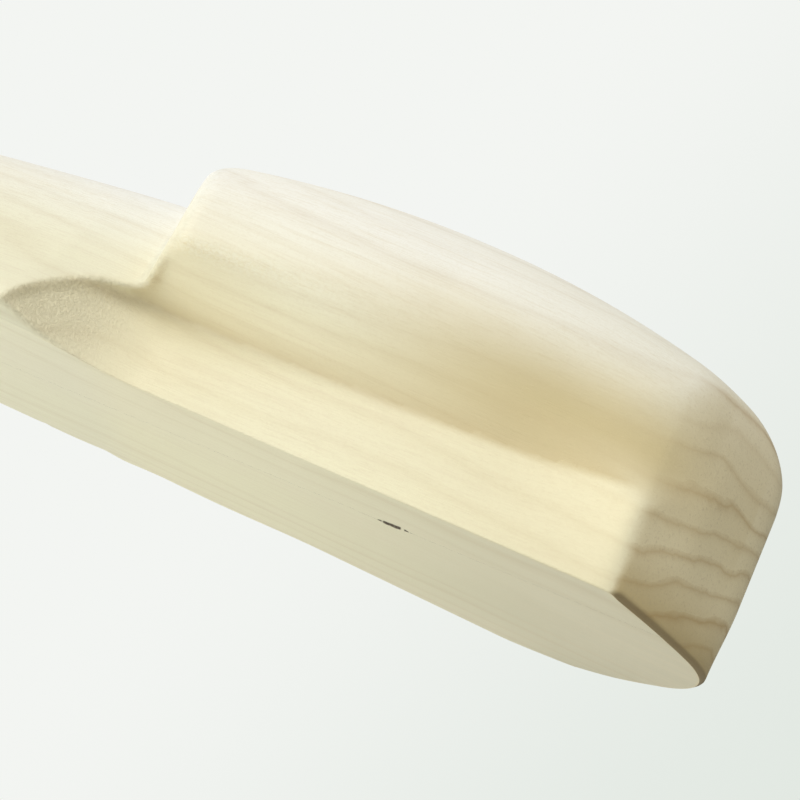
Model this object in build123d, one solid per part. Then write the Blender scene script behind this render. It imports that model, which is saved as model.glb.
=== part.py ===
from build123d import *
import math
import os

# Wooden edge slicker: a one-piece hand tool for pressing and burnishing leather edges.
#
# Millimetres. +X runs along the grain towards the pressing nose, +Z is up from the flat
# sole at Z = 0, and the tool is the same on both sides of the plane Y = 0. The origin is
# the middle of the rectangle that the tool covers on the bench.

# Overall size
TOTAL_LENGTH = 150.0
NOSE_X = TOTAL_LENGTH / 2
TAIL_X = -TOTAL_LENGTH / 2
HALF_WIDTH = 19.9
CROWN_HEIGHT = 35.3

# Nose: two flat facets that meet in a blunt rounded tip, seen from above
PROW_ANGLE = 46.0
TIP_RADIUS = 8.0
SHOULDER_X = 61.8
SHOULDER_HEADING = (-1.0, 0.28)
SHOULDER_PULL = 1.0
WAIST_PULL = 0.7
NOSE_TOP_LENGTH = 11.0
NOSE_TOP_DROP = 11.5

# Crown: the domed palm rest over the front half
STEP_X = 4.5
CROWN_RADIUS = 112.0
CROWN_MIDDLE_X = 34.5
CROWN_SIDE_HEIGHT = 11.0
CROWN_NOSE_SIDE_HEIGHT = 17.0
NOSE_DOME_EASE = 2.5
CROWN_STATIONS = 16
STEP_CORNER_RADIUS = 6.0

# Tail: the long low handle behind the step
TAIL_HALF_WIDTH = 13.5
TAIL_WIDEST_X = -5.0
TAIL_WIDEST_HALF_WIDTH = 19.3
TAIL_ROUND_LENGTH = 11.0
TAIL_END_HEIGHT = 12.5
NECK_HEIGHT = 25.4
NECK_SIDE_HEIGHT = 1.8
NECK_SIDE_SLOPE = 1.5
TAIL_SIDE_SLOPE = 1.1
NECK_STATIONS = 7
STEP_FILLET_RADIUS = 3.0
STEP_FILLET_STATIONS = 4
STEP_FILLET_FLARE = 0.9
STEP_FILLET_SINK = 0.3
BEVEL_FRONT_X = 3.0
BEVEL_INSET = 3.3
BEVEL_HEIGHT = 1.3

# Finger coves, one along each side: a sloping floor, a rounded valley, an undercut wall
COVE_BACK_X = -5.0
COVE_DEEPEST_X = 9.0
COVE_SOLE_Y = 14.3
COVE_SOLE_SPREAD = 3.4
COVE_VALLEY_Y = 11.0
COVE_VALLEY_SPREAD = 4.0
COVE_VALLEY_Z = 9.8
COVE_VALLEY_RISE = 1.8
COVE_EXIT_X = 46.0
COVE_EXIT_SPREAD = 2.6
COVE_WALL_SLOPE = 0.52
COVE_WALL_STEEPEN = 1.5
COVE_ROOF_SLOPE = -0.05
COVE_ROOF_X = 1.0
COVE_BLIND_END_Y = 9.0
COVE_BLIND_DROP = 5.4
COVE_BLIND_SOLE_SHARE = 0.75
COVE_END_RUN = 4.0
COVE_VALLEY_RADIUS = 2.2
COVE_STATIONS = 16
COVE_OUTER_Y = 30.0
COVE_BELOW_SOLE = 3.0

# Relief along the sole's edge round the nose
SOLE_EDGE_RELIEF = 0.6

OVERLAP = 1.0
CLEARANCE = 0.5
RIDGE_CLEARANCE = 0.3
TALL = 60.0


def spaced(first, last, count):
    """Evenly spaced stations."""
    return [first + (last - first) * i / (count - 1) for i in range(count)]


def share(value, low, high):
    """How far a value has gone from low to high, kept within 0 and 1."""
    return min(max((value - low) / (high - low), 0.0), 1.0)


def prow_points():
    """The facet's start at the shoulder and its end at the tip arc, on the +Y side."""
    slope = math.radians(PROW_ANGLE)
    end_x = NOSE_X - TIP_RADIUS * (1 - math.sin(slope))
    end_y = TIP_RADIUS * math.cos(slope)
    start_y = end_y + (end_x - SHOULDER_X) * math.tan(slope)
    return (SHOULDER_X, start_y), (end_x, end_y)


def dome_half_width(x):
    """Half of the dome's width at a station: just outside the outline seen from above."""
    shoulder, facet_end = prow_points()
    if x < shoulder[0]:
        run = share(-x, -shoulder[0], -CROWN_MIDDLE_X)
        width = shoulder[1] + (1 - (1 - run) ** 2) * (HALF_WIDTH - shoulder[1])
        return width + CLEARANCE
    slope = (facet_end[1] - shoulder[1]) / (facet_end[0] - shoulder[0])
    ease = NOSE_DOME_EASE * share(x, shoulder[0], NOSE_X)
    return shoulder[1] + slope * (x - shoulder[0]) + CLEARANCE + ease


def tail_half_width(x):
    """Half of the width of the straight-sided tail at a station, seen from above."""
    run = (TAIL_WIDEST_X - x) / (TAIL_WIDEST_X - TAIL_X - TAIL_ROUND_LENGTH)
    return TAIL_WIDEST_HALF_WIDTH + run * (TAIL_HALF_WIDTH - TAIL_WIDEST_HALF_WIDTH)


def crown_ridge(x):
    """Height of the crown's ridge at a station."""
    sag = CROWN_RADIUS - math.sqrt(CROWN_RADIUS**2 - (x - CROWN_MIDDLE_X) ** 2)
    return CROWN_HEIGHT - sag


def plan_face():
    """Outline of the tool seen from above."""
    shoulder, facet_end = prow_points()
    tail_end = (TAIL_X + TAIL_ROUND_LENGTH, TAIL_HALF_WIDTH)
    tail_front = (TAIL_WIDEST_X, TAIL_WIDEST_HALF_WIDTH)
    taper = (tail_end[0] - tail_front[0], tail_end[1] - tail_front[1])
    flank = Spline(
        shoulder,
        (CROWN_MIDDLE_X, HALF_WIDTH),
        tail_front,
        tangents=[SHOULDER_HEADING, taper],
        tangent_scalars=[SHOULDER_PULL, WAIST_PULL],
    )
    tail_side = Line(tail_front, tail_end)
    facet = Line(facet_end, shoulder)
    tip = RadiusArc((NOSE_X, 0), facet_end, -TIP_RADIUS)
    tail = EllipticalCenterArc(
        (TAIL_X + TAIL_ROUND_LENGTH, 0),
        TAIL_ROUND_LENGTH,
        TAIL_HALF_WIDTH,
        start_angle=90,
        arc_size=90,
    )
    half = Curve() + [tip, facet, flank, tail_side, tail]
    return make_face(half + mirror(half, Plane.XZ))


def dome_section(x, half_width, side_height, ridge_height):
    """A cross-section with upright sides under half an ellipse."""
    sides = Polyline(
        (-half_width, side_height),
        (-half_width, 0),
        (half_width, 0),
        (half_width, side_height),
    )
    rise = ridge_height - side_height
    arch = EllipticalCenterArc((0, side_height), half_width, rise, start_angle=0, arc_size=180)
    return Plane.YZ.offset(x) * make_face(Curve() + [sides, arch])


def corner_waste(outer_x, length, drop):
    """What is cleared to round the crown's ridge off towards an end wall at outer_x."""
    inner_x = outer_x + length
    ridge = crown_ridge(inner_x) + RIDGE_CLEARANCE
    ease = extrude(Plane.XZ * Ellipse(abs(length), drop), TALL, both=True)
    block = Box(2 * abs(length), TALL, 2 * drop)
    return Pos(outer_x, 0, ridge) * block - Pos(inner_x, 0, ridge - drop) * ease


def crown_block():
    """The domed front half, with its ridge rounded over at the step and at the nose."""
    sections = []
    for x in spaced(STEP_X, NOSE_X + OVERLAP, CROWN_STATIONS):
        rise = CROWN_NOSE_SIDE_HEIGHT - CROWN_SIDE_HEIGHT
        side = CROWN_SIDE_HEIGHT + rise * share(x, CROWN_MIDDLE_X, NOSE_X)
        sections.append(dome_section(x, dome_half_width(x), side, crown_ridge(x)))
    step_waste = corner_waste(STEP_X, STEP_CORNER_RADIUS, STEP_CORNER_RADIUS)
    nose_waste = corner_waste(NOSE_X, -NOSE_TOP_LENGTH, NOSE_TOP_DROP)
    return loft(sections) - step_waste - nose_waste


def neck_section(x, grow=0.0):
    """The tail's cross-section: sloping sides under a rounded ridge, optionally grown."""
    run = share(-x, -STEP_X, -TAIL_X)
    ridge = NECK_HEIGHT + run * (TAIL_END_HEIGHT - NECK_HEIGHT) + grow
    width = min(tail_half_width(x), TAIL_WIDEST_HALF_WIDTH) + CLEARANCE + grow
    slope = NECK_SIDE_SLOPE + run * (TAIL_SIDE_SLOPE - NECK_SIDE_SLOPE)
    peak = NECK_SIDE_HEIGHT + slope * width
    ridge_radius = (peak - ridge) / (math.hypot(1, slope) - 1)
    corners = [
        (-width, 0),
        (width, 0),
        (width, NECK_SIDE_HEIGHT),
        (0, peak),
        (-width, NECK_SIDE_HEIGHT),
    ]
    face = make_face(Polyline(*corners, close=True))
    crest = face.vertices().sort_by_distance((0, peak, 0))[0]
    return Plane.YZ.offset(x) * fillet(crest, ridge_radius)


def tail_block():
    """The low handle, running a little way inside the crown block."""
    stations = spaced(TAIL_X - OVERLAP, STEP_X + OVERLAP, NECK_STATIONS)
    return loft([neck_section(x) for x in stations])


def step_fillet():
    """A concave flare that eases the tail's surface into the step wall."""
    sections = []
    for x in spaced(STEP_X - STEP_FILLET_RADIUS, STEP_X, STEP_FILLET_STATIONS):
        reach = x - (STEP_X - STEP_FILLET_RADIUS)
        grow = STEP_FILLET_RADIUS - math.sqrt(STEP_FILLET_RADIUS**2 - (STEP_FILLET_FLARE * reach) ** 2)
        sections.append(neck_section(x, grow - STEP_FILLET_SINK))
    return loft(sections)


def cove_section(x, side):
    """The cove cutter's cross-section at a station, on the side given by +1 or -1."""
    back = share(-x, -COVE_DEEPEST_X, -COVE_BACK_X)
    front = share(x, COVE_DEEPEST_X, SHOULDER_X)
    blind = COVE_BLIND_END_Y * back**2
    sole_y = COVE_SOLE_Y + COVE_SOLE_SPREAD * front + COVE_BLIND_SOLE_SHARE * blind
    leaving = share(x, COVE_EXIT_X, SHOULDER_X)
    valley_y = COVE_VALLEY_Y + COVE_VALLEY_SPREAD * front + blind + COVE_EXIT_SPREAD * leaving**2
    valley_z = COVE_VALLEY_Z + COVE_VALLEY_RISE * front**2 - COVE_BLIND_DROP * back**3
    slope = COVE_WALL_SLOPE + COVE_WALL_STEEPEN * front
    slope += (COVE_ROOF_SLOPE - COVE_WALL_SLOPE) * share(-x, -COVE_DEEPEST_X, -COVE_ROOF_X)
    lean = (sole_y - valley_y) / valley_z
    corners = [
        (side * (sole_y + lean * COVE_BELOW_SOLE), -COVE_BELOW_SOLE),
        (side * valley_y, valley_z),
        (side * COVE_OUTER_Y, valley_z + slope * (COVE_OUTER_Y - valley_y)),
        (side * COVE_OUTER_Y, -COVE_BELOW_SOLE),
    ]
    face = make_face(Polyline(*corners, close=True))
    valley = face.vertices().sort_by_distance((side * valley_y, valley_z, 0))[0]
    return Plane.YZ.offset(x) * fillet(valley, COVE_VALLEY_RADIUS)


def cove_cutter(side):
    """The space cleared for the fingers along one side."""
    stations = spaced(COVE_BACK_X - COVE_END_RUN, SHOULDER_X + COVE_END_RUN, COVE_STATIONS)
    return loft([cove_section(x, side) for x in stations])


def tail_bevel(side):
    """The wedge cleared along the tail's lower edge on the side given by +1 or -1."""
    rise = BEVEL_HEIGHT / BEVEL_INSET
    sections = []
    for x in (TAIL_X - OVERLAP, BEVEL_FRONT_X):
        inner_y = tail_half_width(x) - BEVEL_INSET
        low_y = inner_y - OVERLAP / rise
        outer_y = inner_y + 2 * BEVEL_INSET
        corners = [
            (side * low_y, -OVERLAP),
            (side * outer_y, 2 * BEVEL_HEIGHT),
            (side * outer_y, -OVERLAP),
        ]
        sections.append(Plane.YZ.offset(x) * make_face(Polyline(*corners, close=True)))
    return loft(sections)


def relieve_nose(body):
    """Chamfers the sole's edge along the facets and round the tip."""
    rim = [e for e in body.edges().group_by(Axis.Z)[0] if e.center().X > SHOULDER_X]
    return chamfer(rim, SOLE_EDGE_RELIEF)


def slicker_body():
    """The whole tool, cut from one piece of wood."""
    outline = extrude(plan_face(), TALL)
    body = (crown_block() & outline) + (tail_block() & outline) + (step_fillet() & outline)
    for side in (1, -1):
        body = body - cove_cutter(side) - tail_bevel(side)
    return relieve_nose(body)


def main():
    os.makedirs("parts", exist_ok=True)
    export_step(slicker_body(), "parts/slicker_body.step")


main()
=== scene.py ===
"""Looks for the wood edge slicker: one carved, sanded and unfinished wooden piece."""

import math

import bpy
import numpy as np
from mathutils import Matrix, Vector


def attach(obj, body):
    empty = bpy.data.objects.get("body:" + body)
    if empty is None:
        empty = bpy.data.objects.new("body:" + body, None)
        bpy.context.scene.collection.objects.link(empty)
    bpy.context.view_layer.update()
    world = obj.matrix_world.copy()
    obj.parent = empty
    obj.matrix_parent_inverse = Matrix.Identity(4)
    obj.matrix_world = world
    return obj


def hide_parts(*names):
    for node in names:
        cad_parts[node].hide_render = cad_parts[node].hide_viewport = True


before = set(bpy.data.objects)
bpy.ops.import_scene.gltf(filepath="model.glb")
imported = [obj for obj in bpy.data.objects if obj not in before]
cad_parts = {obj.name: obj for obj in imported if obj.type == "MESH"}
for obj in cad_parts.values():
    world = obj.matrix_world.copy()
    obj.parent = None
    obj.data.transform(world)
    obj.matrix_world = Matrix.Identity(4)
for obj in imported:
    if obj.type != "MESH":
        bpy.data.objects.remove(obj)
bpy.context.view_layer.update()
MM = 0.001

# Shape, in millimetres, in the row frame: +X to the nose, -Y the near side, the sole at Z = 0
NOSE_X, TAIL_X, STEP_X = 75.0, -75.0, 4.5
HALF_SPAN, TOP_Z, MARGIN = 21.0, 36.5, 1.0
CELL = 0.46
EDGE_CELL, EDGE_TOP = 0.25, 2.0

# Outline from above
TAIL_WIDEST_X, TAIL_HALF_WIDTH, TAIL_TAPER = -5.0, 19.3, 0.0983
TAIL_ROUND_X, TAIL_ROUND_LENGTH, TAIL_ROUND_HALF_WIDTH = -64.0, 11.0, 13.5
CROWN_MIDDLE_X, CROWN_RUN = 34.5, 27.3
CROWN_HALF_WIDTH, CROWN_NARROWING = 19.9, 2.4
WAIST_SOFTNESS = 0.8

# Nose facets
FACET_ANGLE, FACET_TURN, FACET_TURN_EASE = 46.0, 6.0, 0.5
CREASE_X, CREASE_Y, CREASE_SHIFT = 67.3, 12.75, 0.25
CREASE_SOFTNESS, CREASE_FADE = 0.35, 1.6
CREASE_RISE = (0.5, 9.0)
TIP_SOFTNESS, TIP_SHARPENING = 8.6, 1.8
SHOULDER_X, SHOULDER_SOFTNESS = 61.8, 0.5
SHOULDER_HIGH_EASE, SHOULDER_FAR_EASE = 2.0, 5.0

# Crown
CROWN_HEIGHT, CROWN_RADIUS = 35.3, 112.0
DOME_HALF_WIDTH, DOME_NARROWING, DOME_FACET_SOFTNESS = 20.3, 2.6, 1.5
DOME_SHOULDER_WIDTH, DOME_FACET_TAPER, DOME_LEAST_WIDTH = 18.3, 0.86, 5.0
DOME_SIDE, DOME_SIDE_RISE = 11.0, 6.0
CORNER_RIDGE_MARGIN = 0.6
NOSE_CORNER_X, NOSE_CORNER_Z, NOSE_CORNER_LENGTH, NOSE_CORNER_SOFTNESS = 64.0, 19.6, 12.3, 2.2
STEP_CORNER_X, STEP_CORNER_Z, STEP_CORNER_LENGTH, STEP_CORNER_SOFTNESS = 10.0, 25.0, 7.2, 1.6
STEP_BOW, STEP_BOW_WIDTH = 3.0, 17.5

# Tail
NECK_HEIGHT, NECK_FALL, NECK_LATE_FALL = 26.4, 9.9, 4.0
NECK_HALF_WIDTH, NECK_NARROWING = 19.6, 5.8
NECK_SIDE, NECK_SLOPE, NECK_SLOPE_FALL = 1.8, 1.5, 0.4
TAIL_INSIDE_X = 12.0
BEVEL_START_Y, BEVEL_SLOPE, BEVEL_LENGTH = 16.0, 0.394, 1.075

# Finger coves
COVE_DEEPEST_X, COVE_BACK_RUN, COVE_FRONT_RUN = 9.0, 16.4, 52.8
COVE_BACK_LIMIT, COVE_FRONT_LIMIT = 1.3, 1.15
COVE_BLIND_Y, COVE_BLIND_DROP, COVE_BLIND_SOLE_SHARE = 9.0, 11.5, 0.7
COVE_SOLE_Y, COVE_SOLE_SPREAD = 14.3, 3.4
COVE_VALLEY_Y, COVE_VALLEY_SPREAD = 11.0, 4.0
COVE_VALLEY_Z, COVE_VALLEY_RISE, COVE_VALLEY_LEAST_Z = 9.8, 1.8, 0.8
COVE_EXIT_X, COVE_EXIT_END_X, COVE_EXIT_SPREAD = 46.0, 61.0, 3.2
FAR_COVE_SHALLOWING = 1.5

# Bevel round the nose's lower edge
NOSE_RELIEF, NOSE_RELIEF_START = 0.42, (61.2, 62.6)


# ---------------------------------------------------------------- soft booleans
def soft_max(a, b, k):
    """The larger of two distances, blended where they differ by less than k."""
    h = np.maximum(k - np.abs(a - b), 0.0) / k
    return np.maximum(a, b) + h * h * k / 4


def soft_min(a, b, k):
    return -soft_max(-a, -b, k)


def share(v, low, high):
    """How far a value has gone from low to high, kept within 0 and 1."""
    return np.clip((v - low) / (high - low), 0.0, 1.0)


def smooth(v, low, high):
    """The same, easing in and out."""
    t = share(v, low, high)
    return t * t * (3 - 2 * t)


# ---------------------------------------------------------------- the outline from above
def body_half_width(x):
    """Half of the width behind the nose's facets."""
    straight_tail = TAIL_HALF_WIDTH + TAIL_TAPER * (x - TAIL_WIDEST_X)
    forward = np.maximum(x - CROWN_MIDDLE_X, 0.0) / CROWN_RUN
    crown_side = CROWN_HALF_WIDTH - CROWN_NARROWING * forward**2
    return soft_min(straight_tail, crown_side, WAIST_SOFTNESS)


def facet(x, y, z):
    """One side of the nose: two flat facets with a crease that fades towards the sole."""
    sharp = smooth(z, *CREASE_RISE)
    turn = np.radians(FACET_TURN - FACET_TURN_EASE * sharp)
    crease_y = CREASE_Y - CREASE_SHIFT * sharp
    sides = []
    for sign in (-1, 1):
        angle = math.radians(FACET_ANGLE) + sign * turn
        sides.append((x - CREASE_X) * np.sin(angle) + (y - crease_y) * np.cos(angle))
    return soft_max(sides[0], sides[1], CREASE_SOFTNESS + CREASE_FADE * (1 - sharp))


def outline(x, y, z):
    """Signed distance to the upright sides: flanks, nose and rounded tail end."""
    tip_softness = TIP_SOFTNESS - TIP_SHARPENING * smooth(z, *CREASE_RISE)
    nose = soft_max(facet(x, y, z), facet(x, -y, z), tip_softness)
    flank = np.abs(y) - body_half_width(x)
    round_x = (x - TAIL_ROUND_X) / TAIL_ROUND_LENGTH
    tail_end = (np.hypot(round_x, y / TAIL_ROUND_HALF_WIDTH) - 1) * TAIL_ROUND_LENGTH
    softness = SHOULDER_SOFTNESS + SHOULDER_HIGH_EASE * smooth(z, 9.0, 16.0)
    softness = softness + SHOULDER_FAR_EASE * smooth(y, 4.0, 10.0)
    return np.where(x < TAIL_ROUND_X, tail_end, soft_max(flank, nose, softness))


# ---------------------------------------------------------------- domes
def dome(y, z, half_width, side, ridge):
    """Signed distance to a cross-section with upright sides under half an ellipse."""
    rise = ridge - side
    u = np.abs(y) / half_width
    v = np.maximum(z - side, 0.0) / rise
    reach = np.sqrt(u**2 + v**2 + 1e-9)
    slope = np.hypot(u / reach / half_width, v / reach / rise)
    return (reach - 1) / np.maximum(slope, 1e-3)


def ridge_height(x):
    """Height of the crown's ridge, an arc along the tool."""
    return CROWN_HEIGHT - (CROWN_RADIUS - np.sqrt(CROWN_RADIUS**2 - (x - CROWN_MIDDLE_X) ** 2))


def corner(along, up, length, drop):
    """Signed distance to a rounded end corner, given the distances past its centre."""
    u = np.maximum(along, 0.0) / length
    v = np.maximum(up, 0.0) / drop
    reach = np.hypot(u, v) + 1e-6
    slope = np.hypot(u / reach / length, v / reach / drop)
    return (reach - 1) / np.maximum(slope, 0.5 / length) - 5.0 * smooth(-along, 0.0, 7.0)


def crown(x, y, z, plan):
    """The domed front half, with its ridge rounded over at the nose and at the step."""
    facet_width = DOME_SHOULDER_WIDTH - DOME_FACET_TAPER * (x - SHOULDER_X)
    forward = np.maximum(x - CROWN_MIDDLE_X, 0.0) / CROWN_RUN
    wide = DOME_HALF_WIDTH - DOME_NARROWING * forward**2
    wide = np.maximum(soft_min(wide, facet_width, DOME_FACET_SOFTNESS), DOME_LEAST_WIDTH)
    side = DOME_SIDE + DOME_SIDE_RISE * share(x, CROWN_MIDDLE_X, NOSE_X)
    top = dome(y, z, wide, side, ridge_height(x))
    ridge = ridge_height(x) + CORNER_RIDGE_MARGIN
    nose_corner = corner(
        x - NOSE_CORNER_X, z - NOSE_CORNER_Z, NOSE_CORNER_LENGTH, ridge - NOSE_CORNER_Z
    )
    step_wall = STEP_CORNER_X + STEP_BOW * (y / STEP_BOW_WIDTH) ** 2
    step_corner = corner(
        step_wall - x, z - STEP_CORNER_Z, STEP_CORNER_LENGTH, ridge - STEP_CORNER_Z
    )
    block = soft_max(plan, top, 0.6 + 3.4 * share(x, 55.0, 66.0) * smooth(z, 12.0, 21.0))
    block = soft_max(block, nose_corner, NOSE_CORNER_SOFTNESS)
    return soft_max(block, step_corner, STEP_CORNER_SOFTNESS)


def tail(x, y, z, plan):
    """The low handle: sloping sides under a rounded ridge."""
    run = share(-x, -STEP_X, -TAIL_X)
    ridge = NECK_HEIGHT - NECK_FALL * run - NECK_LATE_FALL * run**2
    width = NECK_HALF_WIDTH - NECK_NARROWING * share(-x, -TAIL_WIDEST_X, -TAIL_ROUND_X)
    slope = NECK_SLOPE - NECK_SLOPE_FALL * run
    steep = np.hypot(1.0, slope)
    peak = NECK_SIDE + slope * width
    left = (slope * y + z - peak) / steep
    right = (-slope * y + z - peak) / steep
    top = soft_max(left, right, 4 * (peak - ridge) / steep)
    block = soft_max(plan, top, 1.2 + 4.5 * smooth(-x, 52.0, 72.0))
    return soft_max(block, x - TAIL_INSIDE_X, 1.0)


# ---------------------------------------------------------------- finger coves
def cove_lines(x):
    """The cove's shape along the tool: its run forward, sole edge, valley and wall slope."""
    back = np.clip((COVE_DEEPEST_X - x) / COVE_BACK_RUN, 0.0, COVE_BACK_LIMIT)
    front = np.clip((x - COVE_DEEPEST_X) / COVE_FRONT_RUN, 0.0, COVE_FRONT_LIMIT)
    blind = COVE_BLIND_Y * back**2
    sole_y = COVE_SOLE_Y + COVE_SOLE_SPREAD * front + COVE_BLIND_SOLE_SHARE * blind
    valley_y = COVE_VALLEY_Y + COVE_VALLEY_SPREAD * front + blind
    valley_z = COVE_VALLEY_Z + COVE_VALLEY_RISE * front**2 - COVE_BLIND_DROP * back**4
    valley_z = np.maximum(valley_z, COVE_VALLEY_LEAST_Z)
    valley_y = valley_y + COVE_EXIT_SPREAD * share(x, COVE_EXIT_X, COVE_EXIT_END_X) ** 2
    slope = (0.62 + 0.9 * front + 0.6 * front**2) * smooth(x, 2.5, 7.0) - 0.1
    return front, sole_y, valley_y, valley_z, slope


def cove(x, y, z):
    """Negative inside the space cleared for the fingers; the far cove's end is shallower."""
    front, sole_y, valley_y, valley_z, slope = cove_lines(x)
    sole_y = sole_y + FAR_COVE_SHALLOWING * (y > 0) * (1 - smooth(x, 14.0, 30.0))
    lean = (sole_y - valley_y) / valley_z
    a = np.abs(y)
    floor = (valley_y + lean * (valley_z - z) - a) / np.sqrt(1 + lean**2)
    wall = (z - valley_z - slope * (a - valley_y)) / np.sqrt(1 + slope**2)
    return soft_max(floor, wall, 0.5 + 1.8 * smooth(-x, -7.0, 1.0) + 0.8 * front**2)


def sole_relief(x):
    """Height of the bevel along the sole's edge, which begins where the cove ends."""
    return NOSE_RELIEF * smooth(x, *NOSE_RELIEF_START)


def side_bevel(x, y, z):
    """Signed distance to the shallow bevels under the sides of the tail."""
    rise = (np.abs(y) - BEVEL_START_Y) * BEVEL_SLOPE - z
    return rise / BEVEL_LENGTH - 3.0 * smooth(x, 1.0, 6.0)


def above_sole(x, y, z):
    """Signed distance to the whole tool, taken as running on below its sole."""
    plan = outline(x, y, z)
    body = soft_min(crown(x, y, z, plan), tail(x, y, z, plan), 1.3)
    body = soft_max(body, side_bevel(x, y, z), 0.4)
    front = cove_lines(x)[0]
    softness = 0.4 + (1.2 + 6.0 * front) * share(z, 9.0, 15.0)
    softness = softness + (y > 0) * (4.0 * smooth(x, 48.0, 60.0) + 2.5 * (1 - smooth(x, 8.0, 20.0)))
    body = soft_max(body, -cove(x, y, z), softness)
    return soft_max(body, (plan + sole_relief(x) - z) * 0.7071, 0.2)


def surface(x, y, z):
    """Signed distance to the tool, cut off at its flat sole."""
    return np.maximum(above_sole(x, y, z), -z)


# ---------------------------------------------------------------- mesh from the surface
def axis_steps(low, high, step):
    return np.linspace(low, high, int(round((high - low) / step)) + 1)


def surface_net(xs, ys, zs):
    """Quads through every cell that the surface crosses, one vertex in each cell."""
    gx, gy, gz = np.meshgrid(xs, ys, zs, indexing="ij")
    value = surface(gx, gy, gz)
    inside = value < 0
    corners = [inside[i : i - 1 or None, j : j - 1 or None, k : k - 1 or None]
               for i in (0, 1) for j in (0, 1) for k in (0, 1)]
    filled = sum(c.astype(np.int8) for c in corners)
    crossed = (filled > 0) & (filled < 8)
    number = np.full(crossed.shape, -1, np.int64)
    number[crossed] = np.arange(crossed.sum())

    total = np.zeros((crossed.sum(), 3))
    count = np.zeros(crossed.sum())
    quads = []
    grids = (gx, gy, gz)
    for axis in range(3):
        near = [slice(None)] * 3
        far = [slice(None)] * 3
        near[axis], far[axis] = slice(0, -1), slice(1, None)
        a, b = value[tuple(near)], value[tuple(far)]
        i, j, k = np.nonzero((a < 0) != (b < 0))
        t = a[i, j, k] / (a[i, j, k] - b[i, j, k])
        start = np.stack([g[tuple(near)][i, j, k] for g in grids], axis=1)
        end = np.stack([g[tuple(far)][i, j, k] for g in grids], axis=1)
        point = start + t[:, None] * (end - start)
        u, v = [n for n in range(3) if n != axis]
        ring = []
        for du, dv in ((0, 0), (-1, 0), (-1, -1), (0, -1)):
            cell = [i.copy(), j.copy(), k.copy()]
            cell[u] = cell[u] + du
            cell[v] = cell[v] + dv
            ring.append(number[tuple(cell)])
        ring = np.stack(ring, axis=1)
        for n in range(4):
            np.add.at(total, ring[:, n], point)
            np.add.at(count, ring[:, n], 1)
        leaving = (a[i, j, k] < 0) == (axis == 1)
        quads.append(np.where(leaving[:, None], ring[:, ::-1], ring))
    where = np.argwhere(crossed)
    return total / count[:, None], np.concatenate(quads), where, inside


def slope_of(function, p, step=0.02):
    """Gradient of a function at points, by central differences."""
    out = []
    for axis in range(3):
        move = np.zeros(3)
        move[axis] = step
        out.append((function(*(p + move).T) - function(*(p - move).T)) / (2 * step))
    return np.stack(out, axis=1)


def settle(function, p, rounds, planar=False):
    """Moves points onto the surface along its slope."""
    for _ in range(rounds):
        g = slope_of(function, p)
        if planar:
            g[:, 2] = 0
        p = p - g * (function(*p.T) / np.maximum((g * g).sum(axis=1), 0.05))[:, None]
    return p


def carve():
    """The tool's points and quads, and which points are on the flat sole or its rim."""
    xs = axis_steps(TAIL_X - MARGIN, NOSE_X + MARGIN, CELL)
    ys = axis_steps(-HALF_SPAN, HALF_SPAN, CELL)
    zs = np.concatenate([
        np.arange(-1.5 * EDGE_CELL, EDGE_TOP, EDGE_CELL),
        axis_steps(EDGE_TOP, TOP_Z, CELL)[1:],
    ])
    points, quads, where, inside = surface_net(xs, ys, zs)
    layer = int(np.searchsorted(zs, 0.0)) - 1
    at_sole = where[:, 2] == layer
    i, j = where[at_sole, 0], where[at_sole, 1]
    lid = inside[:, :, layer + 1]
    full = lid[i, j].astype(int) + lid[i + 1, j] + lid[i, j + 1] + lid[i + 1, j + 1]
    rim = np.zeros(len(points), bool)
    rim[np.nonzero(at_sole)[0]] = full < 4
    flat = at_sole & ~rim
    free = ~at_sole
    points[free] = settle(above_sole, points[free], 6)
    points[at_sole, 2] = 0.0
    points[rim] = settle(above_sole, points[rim], 8, planar=True)
    points[rim, 2] = 0.0
    points[free, 2] = np.maximum(points[free, 2], 0.02)
    return points, quads, flat, rim


def facing(p):
    """Unit normals of the surface at points."""
    g = slope_of(above_sole, p)
    return g / np.maximum(np.linalg.norm(g, axis=1), 1e-6)[:, None]


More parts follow.
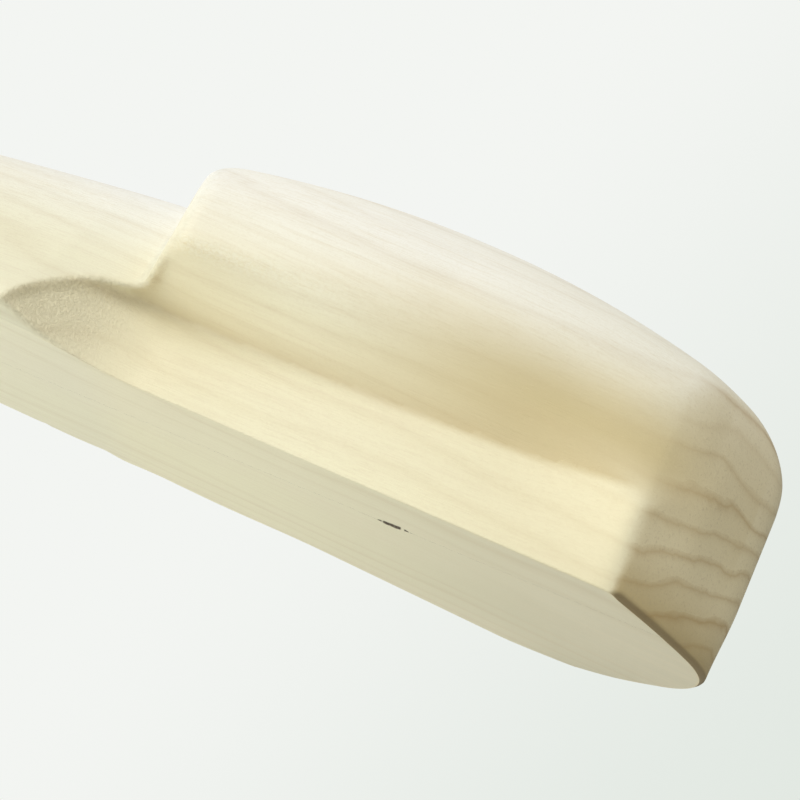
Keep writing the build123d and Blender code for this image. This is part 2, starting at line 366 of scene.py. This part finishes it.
def marks(points, flat):
    """Where the surface is end grain, cut, torn, rubbed or browner, and where shade or light is
    painted on it, from 0 to 1.
    """
    x, y, z = points.T
    normal = facing(points)
    gap = cove(x, y, z)
    plan = outline(x, y, z)
    in_cove = np.exp(-((gap / 0.6) ** 2)) * (~flat) * (x < 66)
    _, _, valley_y, valley_z, _ = cove_lines(x)
    depth = np.hypot(np.abs(y) - valley_y, z - valley_z)
    rim = np.exp(-(gap**2 + np.minimum(plan, 0.5) ** 2) / 1.1) * (z > 2.0)
    # painted shade along the cove's valley, spreading up its wall
    fade = np.where(z > valley_z, 1.9 + 2.6 * smooth(x, 35.0, 55.0), 0.4)
    # the rubbed bevel along the nose's lower edge, and painted shade fading up the nose from the
    # sole near its tip
    rubbed_and_shade = np.exp(-(((plan + sole_relief(x) - z) / 0.3) ** 2)) * (z < 2.0)
    tip_shade = 0.45 * np.exp(-z / 1.6) * smooth(x, 64.0, 72.0)
    rubbed_and_shade = np.maximum(rubbed_and_shade, tip_shade) * smooth(x, 61.0, 62.0)
    flank = np.abs(y) > 6.0
    brown_band = smooth(x, 18.0, 50.0) * np.exp(-(((z - 15.5) / 6.0) ** 2)) * flank * (x < 78)
    brown_band *= 1 - 0.55 * smooth(x, 62.0, 69.0)
    brown_band *= 1 - in_cove * (z < valley_z) * smooth(valley_z - z, 0.0, 0.8)
    # painted shade on the tail's bevels and on the step's face turned towards the tail
    bevel = np.exp(-((side_bevel(x, y, z) / 0.3) ** 2)) * (z > 0)
    step = smooth(-normal[:, 0], 0.1, 0.5) * (x > -2.0) * (x < 18.0) * (z > 9.0)
    return {
        "painted_shade": np.maximum(bevel, 0.9 * step),
        "end_grain": np.where(flat, 0.0, np.maximum(normal[:, 0], -normal[:, 0] * (x < -60.0))),
        "in_cove": in_cove,
        "valley": np.exp(-depth / fade) * in_cove * smooth(x, -2.0, 6.0),
        "blind_end": in_cove * smooth(-x, -8.0, 3.0),
        "rim": rim * smooth(x, 3.0, 8.0) * (1 - smooth(x, 20.0, 52.0)),
        "rubbed_and_shade": rubbed_and_shade,
        "brown_band": brown_band,
    }


def wood_piece():
    """The whole tool as one mesh, with its marks kept on it for the wood material."""
    points, quads, flat, rim = carve()
    mesh = bpy.data.meshes.new("slicker_wood")
    mesh.from_pydata((points * MM).tolist(), [], quads.tolist())
    mesh.shade_smooth()
    for name, values in marks(points, flat).items():
        layer = mesh.attributes.new(name, "FLOAT", "POINT")
        layer.data.foreach_set("value", values.astype(np.float32))
    sole_faces = (flat | rim)[quads].all(axis=1)
    mesh.polygons.foreach_set("use_smooth", ~sole_faces)
    layer = mesh.attributes.new("sole", "FLOAT", "FACE")
    layer.data.foreach_set("value", sole_faces.astype(np.float32))
    piece = bpy.data.objects.new("slicker_wood", mesh)
    bpy.context.scene.collection.objects.link(piece)
    return piece


# ---------------------------------------------------------------- wood
class Nodes:
    """Short calls for the few kinds of shader node used here."""

    def __init__(self, tree):
        self.tree = tree

    def add(self, kind, inputs=(), **settings):
        node = self.tree.nodes.new(kind)
        for name, value in settings.items():
            setattr(node, name, value)
        for slot, value in dict(inputs).items():
            self.feed(node.inputs[slot], value)
        return node

    def feed(self, socket, value):
        if isinstance(value, bpy.types.NodeSocket):
            self.tree.links.new(value, socket)
        elif value is not None:
            socket.default_value = value

    def math(self, operation, a, b=None, c=None, clamp=False):
        node = self.add("ShaderNodeMath", operation=operation, use_clamp=clamp)
        for socket, value in zip(node.inputs, (a, b, c)):
            self.feed(socket, value)
        return node.outputs[0]

    def span(self, value, low, high, to_low=0.0, to_high=1.0):
        node = self.add("ShaderNodeMapRange", interpolation_type="SMOOTHSTEP")
        for socket, v in zip(node.inputs, (value, low, high, to_low, to_high)):
            self.feed(socket, v)
        return node.outputs[0]

    def tint(self, factor, a, b, blend="MIX"):
        node = self.add("ShaderNodeMix", data_type="RGBA", blend_type=blend)
        for slot, value in ((0, factor), (6, a), (7, b)):
            self.feed(node.inputs[slot], value)
        return node.outputs[2]

    def noise(self, place, stretch, detail=3.0, rough=0.5, size=1.0):
        move = self.add("ShaderNodeMapping", {"Vector": place, "Scale": stretch})
        return self.add(
            "ShaderNodeTexNoise",
            {"Vector": move.outputs[0], "Scale": size, "Detail": detail, "Roughness": rough},
        ).outputs["Fac"]

    def along(self, way, direction):
        node = self.add("ShaderNodeVectorMath", {0: way, 1: direction}, operation="DOT_PRODUCT")
        return node.outputs["Value"]

    def mark(self, name):
        return self.add("ShaderNodeAttribute", attribute_name=name).outputs["Fac"]


# Wood colours, with painted light and shade among them
PALE_SIDE, PALE_TOP_PAINTED_LIGHT = (0.825, 0.78, 0.55, 1), (0.895, 0.875, 0.795, 1)
SOLE_PAINTED_SHADE, PATCH, STREAK = (0.54, 0.50, 0.36, 1), (0.80, 0.73, 0.55, 1), (0.74, 0.66, 0.47, 1)
FIBRE, PORE, SPECK = (0.70, 0.61, 0.43, 1), (0.60, 0.50, 0.34, 1), (0.62, 0.52, 0.33, 1)
BROWN_BAND, COVE_WOOD = (0.59, 0.49, 0.27, 1), (0.72, 0.63, 0.38, 1)
END_GRAIN, END_SPECK = (0.72, 0.61, 0.375, 1), (0.47, 0.38, 0.24, 1)
NOSE_FOOT_SHADE, RING = (0.50, 0.38, 0.17, 1), (0.43, 0.29, 0.12, 1)
BLIND_END_PAINTED_LIGHT, TORN, VALLEY_PAINTED_SHADE = (0.93, 0.85, 0.58, 1), (0.56, 0.45, 0.22, 1), (0.50, 0.39, 0.20, 1)
RAGGED, RUBBED_AND_SHADE, CRACK = (0.68, 0.55, 0.25, 1), (0.20, 0.145, 0.07, 1), (0.07, 0.045, 0.02, 1)
TAIL_PAINTED_SHADE, PAINTED_SHADE_TONE = (0.955, 0.965, 1.0, 1), (0.87, 0.88, 0.88, 1)

# Growth rings, and the crack on the sole, in millimetres
PITH_Y, PITH_Z, RING_STEP = -3.0, -8.0, 2.9
CRACK_X, CRACK_Y, CRACK_SLANT, CRACK_HALF_LENGTH, CRACK_OPENING = 38.6, -7.1, 0.12, 2.3, 0.60


def short_crack(n, x, y, mm):
    """A short drying crack on the sole, along the grain, broken into three."""
    along = n.math("SUBTRACT", x, CRACK_X)
    drift = n.math("SUBTRACT", n.noise(mm, (1.1, 0.2, 0.2), detail=2.0), 0.5)
    line = n.math("ADD", n.math("SUBTRACT", y, CRACK_Y), n.math("MULTIPLY", along, CRACK_SLANT))
    off = n.math("ABSOLUTE", n.math("ADD", line, n.math("MULTIPLY", drift, 0.7)))
    ends = n.span(n.math("ABSOLUTE", along), CRACK_HALF_LENGTH, 0.6)
    opening = n.math("MULTIPLY", ends, CRACK_OPENING)
    gaps = n.span(n.noise(mm, (1.7, 0.0, 0.0), detail=1.0), 0.38, 0.52)
    edge, middle = n.math("ADD", opening, 0.02), n.math("MULTIPLY", opening, 0.5)
    return n.math("MULTIPLY", n.span(off, edge, middle), gaps)


def pale_wood():
    """Close-grained pale wood: growth rings round a pith line that runs along X."""
    material = bpy.data.materials.new("pale_wood")
    material.use_nodes = True
    n = Nodes(material.node_tree)
    shader = material.node_tree.nodes["Principled BSDF"]
    place = n.add("ShaderNodeTexCoord").outputs["Object"]
    mm = n.add("ShaderNodeMapping", {"Vector": place, "Scale": (1 / MM,) * 3}).outputs[0]
    axes = n.add("ShaderNodeSeparateXYZ", {"Vector": mm})
    x, y, z = axes.outputs

    end = n.mark("end_grain")
    cut = n.mark("in_cove")
    valley = n.mark("valley")
    blind = n.mark("blind_end")
    rim = n.mark("rim")
    rubbed_and_shade = n.mark("rubbed_and_shade")
    brown_band = n.mark("brown_band")
    sole = n.mark("sole")
    painted_shade = n.mark("painted_shade")

    # growth rings
    wander = n.noise(mm, (0.012, 0.05, 0.05), detail=2.0)
    wobble = n.noise(mm, (0.04, 0.2, 0.2), detail=4.0, rough=0.6)
    across = n.math("SUBTRACT", y, PITH_Y)
    up = n.math("SUBTRACT", z, PITH_Z)
    squares = n.math("ADD", n.math("MULTIPLY", across, across), n.math("MULTIPLY", up, up))
    radius = n.math("SQRT", squares)
    radius = n.math("ADD", radius, n.math("MULTIPLY", wander, 9.0))
    radius = n.math("ADD", radius, n.math("MULTIPLY", wobble, 2.2))
    turns = n.math("DIVIDE", radius, RING_STEP)
    off_line = n.math("ABSOLUTE", n.math("SUBTRACT", n.math("FRACT", turns), 0.82))
    line = n.math("POWER", n.math("SUBTRACT", 1.0, off_line), 7.0)
    turn = n.math("FLOOR", turns)
    strength = n.add("ShaderNodeTexWhiteNoise", {"W": turn}, noise_dimensions="1D").outputs["Value"]

    # fibres, pores and streaks
    streak = n.noise(mm, (0.018, 0.9, 0.9), detail=4.0, rough=0.6)
    fibre = n.noise(mm, (0.10, 4.5, 4.5), detail=3.0, rough=0.65)
    pores = n.noise(mm, (0.30, 7.0, 7.0), detail=2.0, rough=0.7)
    speck = n.noise(mm, (3.2, 3.2, 3.2), detail=4.0, rough=0.7)
    patch = n.noise(mm, (0.022, 0.05, 0.05), detail=2.0)

    # painted light: the top is paler and less yellow than the sides, less so towards the nose
    top = n.math("MULTIPLY", n.span(z, 9.0, 27.0), n.span(x, 75.0, 25.0, 0.6, 1.0))
    colour = n.tint(top, PALE_SIDE, PALE_TOP_PAINTED_LIGHT)
    # painted shade: the sole darkens towards the nose
    colour = n.tint(n.math("MULTIPLY", sole, n.span(x, 16.0, 82.0)), colour, SOLE_PAINTED_SHADE)
    colour = n.tint(n.span(patch, 0.35, 0.7, 0.0, 0.35), colour, PATCH)
    streaky = n.math("MULTIPLY", n.span(streak, 0.45, 0.75), n.span(z, 26.0, 14.0, 0.14, 0.35))
    colour = n.tint(streaky, colour, STREAK)
    colour = n.tint(n.span(fibre, 0.45, 0.75, 0.0, 0.32), colour, FIBRE)
    fine = n.math("MULTIPLY", n.span(pores, 0.62, 0.75), n.math("SUBTRACT", 1.0, end, clamp=True))
    colour = n.tint(n.math("MULTIPLY", fine, 0.16), colour, PORE)

    # fine speckle, left by sanding
    colour = n.tint(n.span(speck, 0.45, 0.7, 0.0, 0.13), colour, SPECK)

    # browner along the flank above the cove's valley, and in the coves
    colour = n.tint(brown_band, colour, BROWN_BAND)
    colour = n.tint(n.math("MULTIPLY", cut, n.span(x, 25.0, 64.0, 0.0, 0.45)), colour, COVE_WOOD)
    colour = n.tint(n.math("MULTIPLY", cut, n.span(x, 24.0, 4.0, 0.0, 0.3)), colour, COVE_WOOD)

    # end grain is darker, and shows the rings best
    end_share = n.span(end, 0.15, 0.75)
    colour = n.tint(n.math("MULTIPLY", end_share, 0.75), colour, END_GRAIN)
    aside = n.math("SUBTRACT", 1.0, sole)
    # painted shade: the nose's facets are darker and browner towards the sole
    foot = n.math("MULTIPLY", n.span(z, 8.0, -1.0), n.span(x, 61.2, 62.2))
    foot = n.math("MULTIPLY", foot, aside)
    colour = n.tint(n.math("MULTIPLY", foot, 0.85), colour, NOSE_FOOT_SHADE)
    ring_share = n.math("MULTIPLY", line, n.math("ADD", n.math("MULTIPLY", end_share, 0.40), 0.10))
    boldness = n.math("ADD", n.math("MULTIPLY", strength, 1.3), 0.2)
    ring_share = n.math("MULTIPLY", ring_share, boldness)
    colour = n.tint(ring_share, colour, RING)
    end_speck = n.math("MULTIPLY", n.span(speck, 0.52, 0.72), n.math("MULTIPLY", end_share, 0.4))
    colour = n.tint(end_speck, colour, END_SPECK)

    # torn fibres and painted light at the cove's blind end, painted shade along the cove's valley,
    # the ragged arris, the rubbed edge of the sole with painted shade near the tip, and the crack
    torn = n.math("MULTIPLY", blind, n.span(speck, 0.4, 0.66, 0.25, 0.85))
    # painted light: the cove's blind end is lightened
    colour = n.tint(n.math("MULTIPLY", blind, 0.5), colour, BLIND_END_PAINTED_LIGHT)
    colour = n.tint(n.math("MULTIPLY", torn, 0.12), colour, TORN)
    # painted shade along the cove's valley
    colour = n.tint(n.math("MULTIPLY", valley, 0.6), colour, VALLEY_PAINTED_SHADE)
    tufts = n.noise(mm, (2.4, 4.5, 4.5), detail=4.0, rough=0.7)
    ragged = n.math("MULTIPLY", rim, n.span(tufts, 0.42, 0.62))
    colour = n.tint(n.math("MULTIPLY", ragged, 0.4), colour, RAGGED)
    # the rubbed edge of the sole, with painted shade above it near the tip
    worn_and_shade = n.math("MULTIPLY", n.math("MULTIPLY", rubbed_and_shade, aside), 0.85)
    colour = n.tint(worn_and_shade, colour, RUBBED_AND_SHADE)
    crack = n.math("MULTIPLY", short_crack(n, x, y, mm), sole)
    colour = n.tint(crack, colour, CRACK)

    # painted shade: the tail, the step face and the tail's bevels are darkened

    colour = n.tint(n.span(x, 8.0, 0.0), colour, TAIL_PAINTED_SHADE, blend="MULTIPLY")
    colour = n.tint(painted_shade, colour, PAINTED_SHADE_TONE, blend="MULTIPLY")
    n.feed(shader.inputs["Base Color"], colour)
    rough = n.math("ADD", n.math("MULTIPLY", fibre, 0.12), 0.50)
    n.feed(shader.inputs["Roughness"], n.math("ADD", rough, n.math("MULTIPLY", cut, 0.08)))
    shader.inputs["Specular IOR Level"].default_value = 0.3

    relief = n.math("ADD", n.math("MULTIPLY", fibre, 0.10), n.math("MULTIPLY", pores, 0.06))
    relief = n.math("ADD", relief, n.math("MULTIPLY", speck, 0.07))
    relief = n.math("ADD", relief, n.math("MULTIPLY", torn, 0.35))
    relief = n.math("ADD", relief, n.math("MULTIPLY", ragged, 0.08))
    relief = n.math("SUBTRACT", relief, n.math("MULTIPLY", crack, 0.8))
    bump = n.add("ShaderNodeBump", {"Height": relief, "Strength": 0.6, "Distance": 0.0006})
    n.feed(shader.inputs["Normal"], bump.outputs[0])
    return material


# ---------------------------------------------------------------- stage, light and camera
FLOOR_Z, FLOOR_REACH = -0.2, 12.0
ORIGIN = (0.0, 0.0, 0.0)


def floor():
    """A plain pale floor, below the camera, which looks up at the sole."""
    mesh = bpy.data.meshes.new("studio_floor")
    r = FLOOR_REACH
    corners = [(-r, -r, FLOOR_Z), (r, -r, FLOOR_Z), (r, r, FLOOR_Z), (-r, r, FLOOR_Z)]
    mesh.from_pydata(corners, [], [(0, 1, 2, 3)])
    plane = bpy.data.objects.new("studio_floor", mesh)
    bpy.context.scene.collection.objects.link(plane)
    paint = bpy.data.materials.new("pale_floor")
    paint.use_nodes = True
    shader = paint.node_tree.nodes["Principled BSDF"]
    shader.inputs["Base Color"].default_value = (0.86, 0.88, 0.86, 1)
    shader.inputs["Roughness"].default_value = 0.7
    mesh.materials.append(paint)


NOSE_WAY, TENT_WAY = (0.95, 0.216, -0.225), (-0.45, -0.15, 0.15)
TENT_LEVEL, TENT_LEAST, TENT_COLOUR = 0.55, 0.05, (1.0, 1.0, 0.98, 1)
BACKDROP, BACKDROP_PAINTED_SHADE = (0.897, 0.913, 0.887, 1), (0.76, 0.81, 0.76, 1)


def world_light():
    """A pale backdrop, darker towards the nose with painted shade, and a soft tent of light that is
    brightest past the tail end.
    """
    world = bpy.data.worlds.new("studio")
    bpy.context.scene.world = world
    world.use_nodes = True
    n = Nodes(world.node_tree)
    shader = world.node_tree.nodes["Background"]
    way = n.add("ShaderNodeTexCoord").outputs["Generated"]
    to_nose = n.along(way, NOSE_WAY)
    # painted shade: the backdrop the camera sees darkens towards the nose
    seen = n.tint(n.span(to_nose, -0.06, 0.36), BACKDROP, BACKDROP_PAINTED_SHADE)
    glow = n.math("MAXIMUM", n.math("ADD", n.along(way, TENT_WAY), TENT_LEVEL), TENT_LEAST)
    tent = n.tint(1.0, TENT_COLOUR, glow, blend="MULTIPLY")
    eye = n.add("ShaderNodeLightPath").outputs["Is Camera Ray"]
    n.feed(shader.inputs["Color"], n.tint(eye, tent, seen))


def area_light(name, place, target, size, power):
    """A round white softbox that the camera doesn't see."""
    lamp = bpy.data.lights.new(name, "AREA")
    lamp.shape = "DISK"
    lamp.size = size
    lamp.energy = power
    holder = bpy.data.objects.new(name, lamp)
    holder.location = place
    holder.rotation_euler = (Vector(target) - Vector(place)).to_track_quat("-Z", "Y").to_euler()
    holder.visible_camera = False
    bpy.context.scene.collection.objects.link(holder)


CAMERA_PLACE = (0.05683, -0.17623, -0.04693)
CAMERA_AZIMUTH, CAMERA_ELEVATION, CAMERA_ROLL = 7.906, -19.316, 26.677
LENS, SENSOR = 76.5, 36.0


def camera():
    """Close to the nose, looking up at the sole, rolled so that the tool runs downhill."""
    azimuth, elevation, roll = map(math.radians, (CAMERA_AZIMUTH, CAMERA_ELEVATION, CAMERA_ROLL))
    level_reach = math.cos(elevation)
    back = Vector((
        math.sin(azimuth) * level_reach, -math.cos(azimuth) * level_reach, math.sin(elevation)
    ))
    level = Vector((0, 0, 1)).cross(back).normalized()
    over = back.cross(level)
    right = level * math.cos(roll) + over * math.sin(roll)
    up = over * math.cos(roll) - level * math.sin(roll)
    lens = bpy.data.cameras.new("photo_view")
    lens.lens = LENS
    lens.sensor_width = SENSOR
    lens.clip_start = 0.01
    holder = bpy.data.objects.new("photo_view", lens)
    turn = Matrix((right, up, back)).transposed().to_4x4()
    holder.matrix_world = Matrix.Translation(CAMERA_PLACE) @ turn
    bpy.context.scene.collection.objects.link(holder)
    bpy.context.scene.camera = holder


wood = wood_piece()
wood.data.materials.append(pale_wood())
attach(wood, "root")
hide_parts("slicker_body")
floor()
world_light()
area_light("front_softbox", (-0.25, -0.50, 0.35), (0.0, 0.0, 0.015), 0.5, 1.75)
area_light("low_softbox", (-0.20, -0.12, -0.17), ORIGIN, 0.15, 0.40)
camera()
bpy.context.scene.view_settings.view_transform = "Standard"
